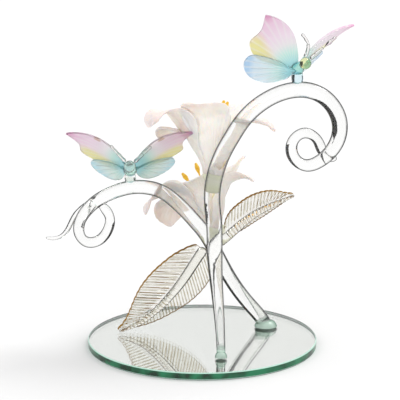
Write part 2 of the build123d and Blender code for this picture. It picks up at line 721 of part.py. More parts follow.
pieces = {
    "base_mirror_glass": base_mirror_glass,
    "base_mirror_backing": base_mirror_backing,
    "tall_stem": tall_stem,
    "arched_stem": arched_stem,
    "left_leaf_blade": left_leaf_blade,
    "left_leaf_rod": left_leaf_rod,
    "right_leaf_blade": right_leaf_blade,
    "right_leaf_rod": right_leaf_rod,
}
for place, flower, petal_shares, stamen_shares in (
    ("upper", upper_flower, upper_petal_shares, upper_stamen_shares),
    ("lower", lower_flower, lower_petal_shares, lower_stamen_shares),
):
    for name, petal in lily(flower, petal_shares).items():
        pieces[f"{place}_lily_{name}_petal"] = petal
    pieces[f"{place}_lily_calyx"] = lily_calyx(flower)
    pieces[f"{place}_lily_stamens"] = lily_stamens(flower, stamen_shares)
for place, butterfly_pieces in (("left", left_butterfly), ("right", right_butterfly)):
    for name, piece in butterfly_pieces.items():
        pieces[f"{place}_butterfly_{name}"] = piece

os.makedirs("parts", exist_ok=True)
for name, piece in pieces.items():
    piece.part.label = name
    export_step(piece.part, f"parts/{name}.step")
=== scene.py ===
from math import cos, pi, radians, sin

import bmesh
import bpy
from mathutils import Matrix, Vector


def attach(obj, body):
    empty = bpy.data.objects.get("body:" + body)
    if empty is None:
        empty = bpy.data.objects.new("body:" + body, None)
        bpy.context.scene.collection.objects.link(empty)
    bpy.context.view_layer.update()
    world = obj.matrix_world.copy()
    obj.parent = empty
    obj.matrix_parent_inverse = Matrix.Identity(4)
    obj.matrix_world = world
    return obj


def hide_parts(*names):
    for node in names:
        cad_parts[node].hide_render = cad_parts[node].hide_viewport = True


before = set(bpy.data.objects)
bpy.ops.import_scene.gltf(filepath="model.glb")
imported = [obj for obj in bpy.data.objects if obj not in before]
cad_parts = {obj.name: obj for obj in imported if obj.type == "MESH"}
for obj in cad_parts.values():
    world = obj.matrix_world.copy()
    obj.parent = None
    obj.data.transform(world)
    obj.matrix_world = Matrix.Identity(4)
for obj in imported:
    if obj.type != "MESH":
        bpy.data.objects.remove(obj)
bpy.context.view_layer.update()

# Camera: the ornament is seen from the front, a little above its flowers, through a long lens, so
# the mirror is a flat ellipse and the stems keep their proportions.
camera = bpy.data.objects.new("camera", bpy.data.cameras.new("camera"))
bpy.context.collection.objects.link(camera)
aim = Vector((-0.00125, 0.0, 0.08234))
distance = 0.97948
above_horizon = radians(13.05)
camera.location = aim + Vector((0, -cos(above_horizon), sin(above_horizon))) * distance
camera.rotation_euler = (pi / 2 - above_horizon, 0, 0)
camera.data.sensor_width = 36.0
camera.data.lens = 161.15
camera.data.clip_start = 0.01
camera.data.clip_end = 20.0
bpy.context.scene.camera = camera
bpy.context.scene.view_settings.view_transform = "Standard"


# Table top: a plain white laminate sheet, wide enough to fill the view behind the ornament.
# It is matt, so it keeps the soft shadow under the mirror.
def srgb(code):
    """Linear colour of an sRGB hex value."""
    parts = [int(code[n:n + 2], 16) / 255 for n in (1, 3, 5)]
    return tuple(c / 12.92 if c <= 0.04045 else ((c + 0.055) / 1.055) ** 2.4 for c in parts) + (1.0,)


def put(tree, kind, inputs=(), **settings):
    """Add one node, give it its settings, and set or link its inputs."""
    node = tree.nodes.new(kind)
    for name, value in settings.items():
        setattr(node, name, value)
    for socket, value in dict(inputs).items():
        if isinstance(value, bpy.types.NodeSocket):
            tree.links.new(value, node.inputs[socket])
        else:
            node.inputs[socket].default_value = value
    return node


def new_finish(name):
    """An empty material and its node tree."""
    finish = bpy.data.materials.new(name)
    finish.use_nodes = True
    finish.node_tree.nodes.clear()
    return finish, finish.node_tree


def new_piece(name, shape, finish):
    """An object at the origin from a finished bmesh."""
    mesh = bpy.data.meshes.new(name)
    shape.to_mesh(mesh)
    shape.free()
    mesh.materials.append(finish)
    piece = bpy.data.objects.new(name, mesh)
    bpy.context.collection.objects.link(piece)
    return piece


# The laminate is flat white. The camera alone sees it a little lighter, so it fades into the room.
camera_lift = 0.06
white_laminate, tree = new_finish("white_laminate")
seen = put(tree, "ShaderNodeLightPath")
sheet = put(tree, "ShaderNodeBsdfDiffuse", {"Color": srgb("#e5e5e5")})
lift = put(tree, "ShaderNodeMath", {0: seen.outputs["Is Camera Ray"], 1: camera_lift},
           operation="MULTIPLY")
glow = put(tree, "ShaderNodeEmission", {"Color": (1, 1, 1, 1), "Strength": lift.outputs[0]})
both = put(tree, "ShaderNodeAddShader", {0: sheet.outputs[0], 1: glow.outputs[0]})
put(tree, "ShaderNodeOutputMaterial", {"Surface": both.outputs[0]})

table_radius = 4.0
shape = bmesh.new()
bmesh.ops.create_circle(shape, cap_ends=True, segments=64, radius=table_radius)
table_top = new_piece("table_top", shape, white_laminate)

# Studio light: a white room all round, one broad lamp high behind on the right that leaves the
# shadow in front of the mirror on the left, and a weak fill from the front for the flowers.
room_light = 0.92
world = bpy.data.worlds.new("white_room")
world.use_nodes = True
world.node_tree.nodes.clear()
tree = world.node_tree
# Seen by the camera, in the mirror or through glass the room is pure white.
seen = put(tree, "ShaderNodeLightPath")
shown = put(tree, "ShaderNodeMath", {0: seen.outputs["Is Camera Ray"], 1: seen.outputs["Is Glossy Ray"]},
            operation="MAXIMUM")
shown = put(tree, "ShaderNodeMath", {0: shown.outputs[0], 1: seen.outputs["Is Transmission Ray"]},
            operation="MAXIMUM")
level = put(tree, "ShaderNodeMapRange", {"Value": shown.outputs[0], "To Min": room_light})
sky = put(tree, "ShaderNodeBackground", {"Color": (1, 1, 1, 1), "Strength": level.outputs[0]})
put(tree, "ShaderNodeOutputWorld", {"Surface": sky.outputs[0]})
bpy.context.scene.world = world

# Rows: the lamp's strength, its breadth in degrees, and the way to it from the ornament.
lamp_rows = {"broad_lamp": (1.1, 28, (0.60, 0.42, 1.0)), "front_fill": (0.55, 70, (-0.25, -1.0, 0.35))}
for lamp_name, (strength, breadth, way_to_lamp) in lamp_rows.items():
    lamp = bpy.data.objects.new(lamp_name, bpy.data.lights.new(lamp_name, "SUN"))
    lamp.data.energy = strength
    lamp.data.angle = radians(breadth)
    lamp.rotation_euler = Vector(way_to_lamp).to_track_quat("Z", "Y").to_euler()
    bpy.context.collection.objects.link(lamp)

# Black cards: two tall curved cards stand behind the table at either side, out of the view. Clear
# glass picks them up as the dark streaks along its edges, and nothing else sees them.
black_card, tree = new_finish("black_card")
seen = put(tree, "ShaderNodeLightPath")
away = put(tree, "ShaderNodeBsdfTransparent")
black = put(tree, "ShaderNodeBsdfDiffuse", {"Color": srgb("#050505")})
either = put(tree, "ShaderNodeMixShader", {
    0: seen.outputs["Is Transmission Ray"], 1: away.outputs[0], 2: black.outputs[0]})
put(tree, "ShaderNodeOutputMaterial", {"Surface": either.outputs[0]})
card_distance = 0.42
card_height = 0.6
card_foot = -0.01
# Rows: bearing of the card's inner edge from straight behind and how far round it goes, in degrees.
card_rows = {"card_right": (28, 48), "card_left": (-30, -30)}
for card_name, (first, sweep) in card_rows.items():
    shape = bmesh.new()
    start = Vector((card_distance * sin(radians(first)), card_distance * cos(radians(first)), card_foot))
    ends = [shape.verts.new(start), shape.verts.new(start + Vector((0, 0, card_height)))]
    inner_edge = shape.edges.new(ends)
    bmesh.ops.spin(shape, geom=[*ends, inner_edge], cent=(0, 0, 0), axis=(0, 0, 1), angle=-radians(sweep),
                   steps=12, use_merge=False, use_duplicate=False)
    new_piece(card_name, shape, black_card)

# Mirror glass: a 127 mm disc of 4 mm float glass. Its arrised edge is polished, and looking into
# it through the disc's whole width gives the deep bottle green of ordinary float glass. Its flat
# faces are clear and let the silver behind them shine.
painted_flash_length = 0.00909
float_glass, tree = new_finish("float_glass_polished_edge")
place = put(tree, "ShaderNodeNewGeometry")
facing = put(tree, "ShaderNodeSeparateXYZ", {0: place.outputs["Normal"]})
upright = put(tree, "ShaderNodeMath", {0: facing.outputs["Z"]}, operation="ABSOLUTE")
object_place = put(tree, "ShaderNodeTexCoord").outputs["Object"]
# Painted reflections: the polished edge's green is patched light and dark every 9 mm or so, as if it caught
# the room.
painted_flash = put(tree, "ShaderNodeTexNoise", {
    "Vector": object_place, "Scale": 1 / painted_flash_length, "Detail": 2.0})
depth = put(tree, "ShaderNodeValToRGB", {0: painted_flash.outputs[0]})
depth.color_ramp.elements[0].position = 0.40
depth.color_ramp.elements[0].color = srgb("#02301b")
depth.color_ramp.elements[1].position = 0.66
depth.color_ramp.elements[1].color = srgb("#16784f")
# Painted highlight: the chamfered arris is coloured pale green as if it caught the light.
painted_arris_highlight = put(tree, "ShaderNodeMapRange", {"Value": upright.outputs[0], "From Min": 0.2, "From Max": 0.6})
colour = put(tree, "ShaderNodeMix", {
    0: painted_arris_highlight.outputs[0], 6: depth.outputs[0], 7: srgb("#b4dccb")}, data_type="RGBA")
flat = put(tree, "ShaderNodeMapRange", {"Value": upright.outputs[0], "From Min": 0.75, "From Max": 0.95})
colour = put(tree, "ShaderNodeMix", {
    0: flat.outputs[0], 6: colour.outputs[2], 7: srgb("#fbfdfc")}, data_type="RGBA")
gloss = put(tree, "ShaderNodeBsdfPrincipled", {
    "Base Color": colour.outputs[2], "Roughness": 0.0, "IOR": 1.52, "Transmission Weight": flat.outputs[0]})
put(tree, "ShaderNodeOutputMaterial", {"Surface": gloss.outputs[0]})


def dress(node, finish):
    """Give a carried-over piece its finish."""
    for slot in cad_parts[node].material_slots:
        slot.material = finish


dress("base_mirror_glass", float_glass)

# Mirror backing: the silver film with its coat of grey backing paint, 0.3 mm in all, sprayed on
# the underside of the disc. Bright through the glass, matt grey underneath.
mist_patch = 0.01667
speckle_size = 0.001111
# The silver is a clean mirror, with the faint patchy mist of a sprayed film.
silver_film, tree = new_finish("silver_film_on_glass")
object_place = put(tree, "ShaderNodeTexCoord").outputs["Object"]
mist = put(tree, "ShaderNodeTexNoise", {
    "Vector": object_place, "Scale": 1 / mist_patch, "Detail": 3.0})
shine = put(tree, "ShaderNodeMapRange", {"Value": mist.outputs[0], "To Min": 0.0, "To Max": 0.03})
film = put(tree, "ShaderNodeBsdfPrincipled", {
    "Base Color": srgb("#f2f1ee"), "Metallic": 1.0, "Roughness": shine.outputs[0]})
put(tree, "ShaderNodeOutputMaterial", {"Surface": film.outputs[0]})

# The backing paint is a dull grey with a fine spray speckle, drawn coarser than it is.
backing_paint, tree = new_finish("backing_paint_grey")
object_place = put(tree, "ShaderNodeTexCoord").outputs["Object"]
speckle = put(tree, "ShaderNodeTexNoise", {
    "Vector": object_place, "Scale": 1 / speckle_size, "Detail": 2.0})
tone = put(tree, "ShaderNodeValToRGB", {0: speckle.outputs[0]})
tone.color_ramp.elements[0].color = srgb("#6f7376")
tone.color_ramp.elements[1].color = srgb("#85898b")
paint = put(tree, "ShaderNodeBsdfPrincipled", {"Base Color": tone.outputs[0], "Roughness": 0.6})
put(tree, "ShaderNodeOutputMaterial", {"Surface": paint.outputs[0]})

shape = bmesh.new()
film_radius = max(vert.co.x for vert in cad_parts["base_mirror_backing"].data.vertices)
film_thickness = 0.00026
bmesh.ops.create_cone(shape, cap_ends=True, segments=160, radius1=film_radius, radius2=film_radius,
                      depth=film_thickness)
bmesh.ops.translate(shape, verts=shape.verts, vec=(0, 0, film_thickness / 2))
for face in shape.faces:
    face.material_index = 0 if face.normal.z > 0.5 else 1
silvered_backing = new_piece("silvered_backing", shape, silver_film)
silvered_backing.data.materials.append(backing_paint)
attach(silvered_backing, "root")
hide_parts("base_mirror_backing")


# Stems: solid borosilicate rod, bent and drawn in a flame, so its surface is fire-polished and
# clear. The dark line at a rod's outline is painted shade, a darker colour where its skin is seen edge-on.
def clear_glass(name, body, edge_shade, edge_shade_start, edge_shade_full, foot_height=0.0):
    """Clear glass with painted shade where its skin is seen edge-on, with greenish feet if it has any."""
    glass, tree = new_finish(name)
    # Painted shade: the colour turns to the edge shade as the skin turns edge-on.
    edge = put(tree, "ShaderNodeLayerWeight", {"Blend": 0.5})
    colour = put(tree, "ShaderNodeValToRGB", {0: edge.outputs["Facing"]})
    colour.color_ramp.elements[0].position = edge_shade_start
    colour.color_ramp.elements[0].color = srgb(body)
    colour.color_ramp.elements[1].position = edge_shade_full
    colour.color_ramp.elements[1].color = srgb(edge_shade)
    colour = colour.outputs[0]
    if foot_height:
        object_place = put(tree, "ShaderNodeTexCoord").outputs["Object"]
        where = put(tree, "ShaderNodeSeparateXYZ", {0: object_place})
        foot = put(tree, "ShaderNodeMapRange", {
            "Value": where.outputs["Z"], "From Min": foot_height, "From Max": foot_height * 0.8})
        # Painted shade on the feet too: pale green inside, darker green where the skin is seen edge-on.
        green = put(tree, "ShaderNodeValToRGB", {0: edge.outputs["Facing"]})
        green.color_ramp.elements[0].position = 0.3
        green.color_ramp.elements[0].color = srgb("#d2ecdd")
        green.color_ramp.elements[1].position = 0.8
        green.color_ramp.elements[1].color = srgb("#3a7d60")
        colour = put(tree, "ShaderNodeMix", {
            0: foot.outputs[0], 6: colour, 7: green.outputs[0]}, data_type="RGBA").outputs[2]
    gloss = put(tree, "ShaderNodeBsdfPrincipled", {
        "Base Color": colour, "Roughness": 0.0, "IOR": 1.47, "Transmission Weight": 1.0})
    if foot_height:
        # A foot melted onto the disc has no air under it, so less passes through it than a rod.
        clear = put(tree, "ShaderNodeMapRange", {"Value": foot.outputs[0], "To Min": 1.0, "To Max": 0.25})
        tree.links.new(clear.outputs[0], gloss.inputs["Transmission Weight"])
    put(tree, "ShaderNodeOutputMaterial", {"Surface": gloss.outputs[0]})
    return glass


# The rods are bright and colourless inside a thin black outline of painted shade.
rod_glass = clear_glass(
    "borosilicate_rod_flame_bent", "#fefefd", "#080908", edge_shade_start=0.27, edge_shade_full=0.52, foot_height=0.0095)
dress("tall_stem", rod_glass)
dress("arched_stem", rod_glass)


# Leaves: clear glass pressed in a toothed clamp while soft, which leaves the slanting ribs and the
# scalloped edge. The edge is painted with bright gold and fired; a drawn rod carries each blade.
def pressed_glass(name, root, along, across, length, bow_share):
    """Clear pressed glass with slanting ribs off a bowed midrib, and fired gold on its edges.

    The leaf runs along one direction from its root and spreads across it. The bow is how far its
    midrib leaves the straight line, as a share of the leaf's length.
    """
    along, across = Vector(along), Vector(across)
    tooth_pitch = 0.0021
    rib_slant = 0.62
    ripple_length = 0.003333
    midrib_at_tip = 0.006
    midrib_growth = 0.040
    glass, tree = new_finish(name)
    place = put(tree, "ShaderNodeNewGeometry")
    square = put(tree, "ShaderNodeVectorMath", {0: place.outputs["Normal"], 1: along.cross(across)},
                 operation="DOT_PRODUCT")
    flatness = put(tree, "ShaderNodeMath", {0: square.outputs["Value"]}, operation="ABSOLUTE")
    gold = put(tree, "ShaderNodeMapRange", {
        "Value": flatness.outputs[0], "From Min": 0.55, "From Max": 0.35})
    object_place = put(tree, "ShaderNodeTexCoord").outputs["Object"]
    out = put(tree, "ShaderNodeVectorMath", {0: object_place, 1: root}, operation="SUBTRACT")
    way_out = put(tree, "ShaderNodeVectorMath", {0: out.outputs[0], 1: along / length},
                  operation="DOT_PRODUCT").outputs["Value"]
    side = put(tree, "ShaderNodeVectorMath", {0: out.outputs[0], 1: across / length},
               operation="DOT_PRODUCT").outputs["Value"]
    way_left = put(tree, "ShaderNodeMath", {0: 1.0, 1: way_out}, operation="SUBTRACT")
    bow = put(tree, "ShaderNodeMath", {0: way_out, 1: way_left.outputs[0]}, operation="MULTIPLY")
    bow = put(tree, "ShaderNodeMath", {0: bow.outputs[0], 1: 4 * bow_share}, operation="MULTIPLY")
    wide = put(tree, "ShaderNodeMath", {0: side, 1: bow.outputs[0]}, operation="SUBTRACT")
    wide = put(tree, "ShaderNodeMath", {0: wide.outputs[0]}, operation="ABSOLUTE")
    # The teeth of the clamp slant away from the midrib, and the soft glass ripples a little.
    lead = put(tree, "ShaderNodeMath", {0: wide.outputs[0], 1: -rib_slant, 2: way_out},
               operation="MULTIPLY_ADD")
    teeth = put(tree, "ShaderNodeMath", {0: lead.outputs[0], 1: 2 * pi * length / tooth_pitch},
                operation="MULTIPLY")
    wave = put(tree, "ShaderNodeMath", {0: teeth.outputs[0]}, operation="SINE")
    ripple = put(tree, "ShaderNodeTexNoise", {
        "Vector": object_place, "Scale": 1 / ripple_length, "Detail": 2.0})
    uneven = put(tree, "ShaderNodeMapRange", {"Value": ripple.outputs[0], "To Min": -0.65, "To Max": 0.65})
    wave = put(tree, "ShaderNodeMath", {0: wave.outputs[0], 1: uneven.outputs[0]}, operation="ADD")
    # The midrib is smooth, and as wide as the rod fused along it, in shares of the leaf's length.
    midrib = put(tree, "ShaderNodeMath", {0: way_left.outputs[0], 1: midrib_growth, 2: midrib_at_tip},
                 operation="MULTIPLY_ADD")
    beside = put(tree, "ShaderNodeMath", {0: wide.outputs[0], 1: midrib.outputs[0]}, operation="SUBTRACT")
    pressed = put(tree, "ShaderNodeMapRange", {
        "Value": beside.outputs[0], "From Min": -0.002, "From Max": 0.008})
    raised = put(tree, "ShaderNodeMath", {0: wave.outputs[0], 1: 1.0}, operation="ADD")
    raised = put(tree, "ShaderNodeMath", {0: raised.outputs[0], 1: pressed.outputs[0]},
                 operation="MULTIPLY")
    wave = put(tree, "ShaderNodeMath", {0: raised.outputs[0], 1: 1.0}, operation="SUBTRACT")
    # Painted shade: the clear glass is coloured straw along the ribs and left clear between them,
    # for the dark lines the ribs show. The gold is half dull.
    painted_rib_shade = put(tree, "ShaderNodeValToRGB", {0: wave.outputs[0]})
    painted_rib_shade.color_ramp.elements[0].position = 0.35
    painted_rib_shade.color_ramp.elements[0].color = srgb("#fbfaf7")
    painted_rib_shade.color_ramp.elements[1].position = 1.0
    painted_rib_shade.color_ramp.elements[1].color = srgb("#b3a98c")
    colour = put(tree, "ShaderNodeMix", {
        0: gold.outputs[0], 6: painted_rib_shade.outputs[0], 7: srgb("#94702f")}, data_type="RGBA")
    clear = put(tree, "ShaderNodeMath", {0: 1.0, 1: gold.outputs[0]}, operation="SUBTRACT")
    rough = put(tree, "ShaderNodeMapRange", {"Value": gold.outputs[0], "To Min": 0.0, "To Max": 0.28})
    dent = put(tree, "ShaderNodeBump", {"Height": wave.outputs[0], "Strength": 0.16, "Distance": 0.0003})
    gloss = put(tree, "ShaderNodeBsdfPrincipled", {
        "Base Color": colour.outputs[2], "Metallic": gold.outputs[0], "Roughness": rough.outputs[0],
        "IOR": 1.5, "Transmission Weight": clear.outputs[0], "Normal": dent.outputs[0]})
    put(tree, "ShaderNodeOutputMaterial", {"Surface": gloss.outputs[0]})
    return glass


# Both blades as they lie in the solids, their directions square to each other and 1 long.
dress("left_leaf_blade", pressed_glass(
    "pressed_glass_gilt_edge_left", root=(0.0003, 0.0082, 0.0547), along=(-0.6897, 0.0, -0.7241),
    across=(0.6391, 0.47, -0.6088), length=0.0682, bow_share=0.104))
dress("right_leaf_blade", pressed_glass(
    "pressed_glass_gilt_edge_right", root=(0.0081, 0.0079, 0.0572), along=(0.8557, 0.04, 0.5158),
    across=(-0.4535, -0.4221, 0.785), length=0.0497, bow_share=0.082))
# The drawn rods under the blades have a softer, brownish outline of painted shade.
leaf_rod_glass = clear_glass("drawn_rod_under_leaf", "#f8f7f3", "#2b2820", edge_shade_start=0.28, edge_shade_full=0.58)
dress("left_leaf_rod", leaf_rod_glass)
dress("right_leaf_rod", leaf_rod_glass)


# Lilies: six petals of white porcelain rolled out by hand and pressed together at the throat, with
# a satin bisque skin. A blush of pink is sprayed on each petal's end before the firing.
def bisque(name, heart, across, behind, blush_from, blush_full):
    """White bisque, finely pleated round the flower's heart, that turns pink away from it."""
    pleats_per_turn = 58
    cloud_size = 0.008333
    blush_drift = 0.004
    porcelain, tree = new_finish(name)
    object_place = put(tree, "ShaderNodeTexCoord").outputs["Object"]
    away = put(tree, "ShaderNodeVectorMath", {0: object_place, 1: heart}, operation="DISTANCE")
    cloud = put(tree, "ShaderNodeTexNoise", {
        "Vector": object_place, "Scale": 1 / cloud_size, "Detail": 3.0})
    drift = put(tree, "ShaderNodeMapRange", {
        "Value": cloud.outputs[0], "To Min": -blush_drift, "To Max": blush_drift})
    reach = put(tree, "ShaderNodeMath", {0: away.outputs["Value"], 1: drift.outputs[0]}, operation="ADD")
    blush = put(tree, "ShaderNodeMapRange", {
        "Value": reach.outputs[0], "From Min": blush_from, "From Max": blush_full},
        interpolation_type="SMOOTHSTEP")
    colour = put(tree, "ShaderNodeValToRGB", {0: blush.outputs[0]})
    colour.color_ramp.elements[0].color = srgb("#fdf4ed")
    colour.color_ramp.elements[1].color = srgb("#f8dfda")
    out = put(tree, "ShaderNodeVectorMath", {0: object_place, 1: heart}, operation="SUBTRACT")
    aside = put(tree, "ShaderNodeVectorMath", {0: out.outputs[0], 1: across}, operation="DOT_PRODUCT")
    back = put(tree, "ShaderNodeVectorMath", {0: out.outputs[0], 1: behind}, operation="DOT_PRODUCT")
    turn = put(tree, "ShaderNodeMath", {0: aside.outputs["Value"], 1: back.outputs["Value"]},
               operation="ARCTAN2")
    groove = put(tree, "ShaderNodeMath", {0: turn.outputs[0], 1: pleats_per_turn}, operation="MULTIPLY")
    groove = put(tree, "ShaderNodeMath", {0: groove.outputs[0]}, operation="SINE")
    tooth = put(tree, "ShaderNodeBump", {"Height": groove.outputs[0], "Strength": 0.26, "Distance": 0.0004})
    # Thin porcelain lets some light through, which keeps the shaded sides warm and pale.
    clay = put(tree, "ShaderNodeBsdfPrincipled", {
        "Base Color": colour.outputs[0], "Roughness": 0.42, "IOR": 1.5, "Subsurface Weight": 0.6,
        "Subsurface Radius": (1.0, 0.7, 0.5), "Subsurface Scale": 0.004, "Normal": tooth.outputs[0]})
    put(tree, "ShaderNodeOutputMaterial", {"Surface": clay.outputs[0]})
    return porcelain


def rolled_petal(node, finish, base, around, spread, stretch):
    """A broad hand-rolled petal with soft wavy rims, spread from the carried-over petal's form.

    It keeps its width in the throat and widens by the spread beyond it. The stretch draws it out.
    """
    throat_reach = 0.014
    opening_reach = 0.018
    stretch_from = 0.008
    shape = bmesh.new()
    shape.from_mesh(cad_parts[node].data)
    bmesh.ops.remove_doubles(shape, verts=shape.verts, dist=0.00001)
    for vert in shape.verts:
        away = vert.co - base
        free = min(max((away.length - throat_reach) / opening_reach, 0.0), 1.0)
        free = free * free * (3 - 2 * free)
        widened = away.dot(around) * spread * free
        drawn_out = max(away.length - stretch_from, 0.0)
        vert.co += around * widened + stretch * drawn_out
    petal = new_piece(node.replace("_petal", "_rolled_petal"), shape, finish)
    close = petal.modifiers.new("close_up", "REMESH")
    close.mode = "VOXEL"
    close.voxel_size = 0.0004
    close.use_smooth_shade = True
    ruffle = petal.modifiers.new("wavy_rims", "DISPLACE")
    ruffle.texture = wavy
    ruffle.texture_coords = "LOCAL"
    ruffle.strength = 0.0022
    ruffle.mid_level = 0.5
    soften = petal.modifiers.new("soft_rims", "SMOOTH")
    soften.factor = 0.5
    soften.iterations = 10
    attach(petal, "root")
    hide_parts(node)


# The rims wave about every 10 mm.
wavy = bpy.data.textures.new("wavy", "CLOUDS")
wavy.noise_scale = 0.010
heart_height = 0.029
# Rows: the middle of the calyx's rim, then the ways across the flower, behind it and up its throat.
flower_places = {
    "upper": ((0.00533, 0.00837, 0.0953), (0.9995, 0.0057, 0.0295),
              (0.0, 0.9817, -0.1903), (-0.03, 0.1902, 0.9813)),
    "lower": ((0.00755, 0.01682, 0.06226), (0.96, 0.1226, 0.2518),
              (0.0, 0.8992, -0.4376), (-0.2801, 0.4201, 0.8632)),
}
# Bearings of the petals round each flower, as shares of a turn.
petal_bearings = {
    "upper": {"left": 0.564, "front": 0.725, "right": 0.965,
              "right_back": 1.106, "back": 1.256, "left_back": 1.411},
    "lower": {"left": 0.542, "front": 0.711, "right": 0.946,
              "right_back": 1.083, "back": 1.236, "left_back": 1.389},
}
for flower, place in flower_places.items():
    base, across, behind, up = [Vector(row) for row in place]
    flower_bisque = bisque(f"bisque_porcelain_{flower}_lily", base + up * heart_height, across, behind,
                           blush_from=0.020, blush_full=0.038)
    for side, bearing in petal_bearings[flower].items():
        around = behind * cos(2 * pi * bearing) - across * sin(2 * pi * bearing)
        spread = 0.55 if side in ("front", "right") else 0.95
        stretch = Vector((0, 0, 0))
        if (flower, side) == ("lower", "front"):
            # This petal stands up before the stamens and leans to the left of the calyx above it.
            spread, stretch = 1.1, up * 0.60 - around * 0.30
        rolled_petal(f"{flower}_lily_{side}_petal", flower_bisque, base, around, spread, stretch)

# Calyces: the little porcelain cups under the flowers, stained pale leaf green and glazed, and
# fixed to the glass in front of them with clear glue. The glaze pools, so its green is cloudy.
pool_size = 0.005556
green_glaze, tree = new_finish("pale_green_glazed_porcelain")
object_place = put(tree, "ShaderNodeTexCoord").outputs["Object"]
pool = put(tree, "ShaderNodeTexNoise", {
    "Vector": object_place, "Scale": 1 / pool_size, "Detail": 3.0})
colour = put(tree, "ShaderNodeValToRGB", {0: pool.outputs[0]})
colour.color_ramp.elements[0].position = 0.35
colour.color_ramp.elements[0].color = srgb("#e8ebc8")
colour.color_ramp.elements[1].position = 0.7
colour.color_ramp.elements[1].color = srgb("#f8f8e6")
glaze = put(tree, "ShaderNodeBsdfPrincipled", {
    "Base Color": colour.outputs[0], "Roughness": 0.2, "IOR": 1.5, "Coat Weight": 0.5})
put(tree, "ShaderNodeOutputMaterial", {"Surface": glaze.outputs[0]})
dress("upper_lily_calyx", green_glaze)
dress("lower_lily_calyx", green_glaze)


# Stamens: porcelain paste rolled to threads, cream at the foot, each with a swollen end dipped in
# egg-yellow glaze. The glaze is grainy, like pollen, with a soft shine.
def stamen_glaze(name, foot, along):
    """Cream filament that turns egg yellow towards its end."""
    dip_from = 0.024
    dip_full = 0.029
    grain_size = 0.0007143
    yellow, tree = new_finish(name)
    object_place = put(tree, "ShaderNodeTexCoord").outputs["Object"]
    from_foot = put(tree, "ShaderNodeVectorMath", {0: object_place, 1: foot}, operation="SUBTRACT")
    height = put(tree, "ShaderNodeVectorMath", {0: from_foot.outputs[0], 1: along},
                 operation="DOT_PRODUCT")
    dipped = put(tree, "ShaderNodeMapRange", {
        "Value": height.outputs["Value"], "From Min": dip_from, "From Max": dip_full})
    speck = put(tree, "ShaderNodeTexNoise", {
        "Vector": object_place, "Scale": 1 / grain_size, "Detail": 2.0})
    pollen = put(tree, "ShaderNodeValToRGB", {0: speck.outputs[0]})
    pollen.color_ramp.elements[0].position = 0.35
    pollen.color_ramp.elements[0].color = srgb("#e8aa1e")
    pollen.color_ramp.elements[1].position = 0.65
    pollen.color_ramp.elements[1].color = srgb("#fbd73c")
    colour = put(tree, "ShaderNodeMix", {
        0: dipped.outputs[0], 6: srgb("#efe6ac"), 7: pollen.outputs[0]}, data_type="RGBA")
    rub = put(tree, "ShaderNodeBump", {"Height": speck.outputs[0], "Strength": 0.4, "Distance": 0.0003})
    glaze = put(tree, "ShaderNodeBsdfPrincipled", {
        "Base Color": colour.outputs[2], "Roughness": 0.35, "IOR": 1.5, "Normal": rub.outputs[0]})
    put(tree, "ShaderNodeOutputMaterial", {"Surface": glaze.outputs[0]})
    return yellow


# Rows: the foot of the flower's stamens, and the way that they rise.
stamen_rows = {
    "upper": ((0.0056, 0.0083, 0.0953), (-0.03, 0.19, 0.981)),
    "lower": ((0.0068, 0.0176, 0.0623), (-0.28, 0.42, 0.863)),
}
for flower, (foot, along) in stamen_rows.items():
    dress(f"{flower}_lily_stamens", stamen_glaze(f"egg_yellow_glaze_{flower}", foot, along))


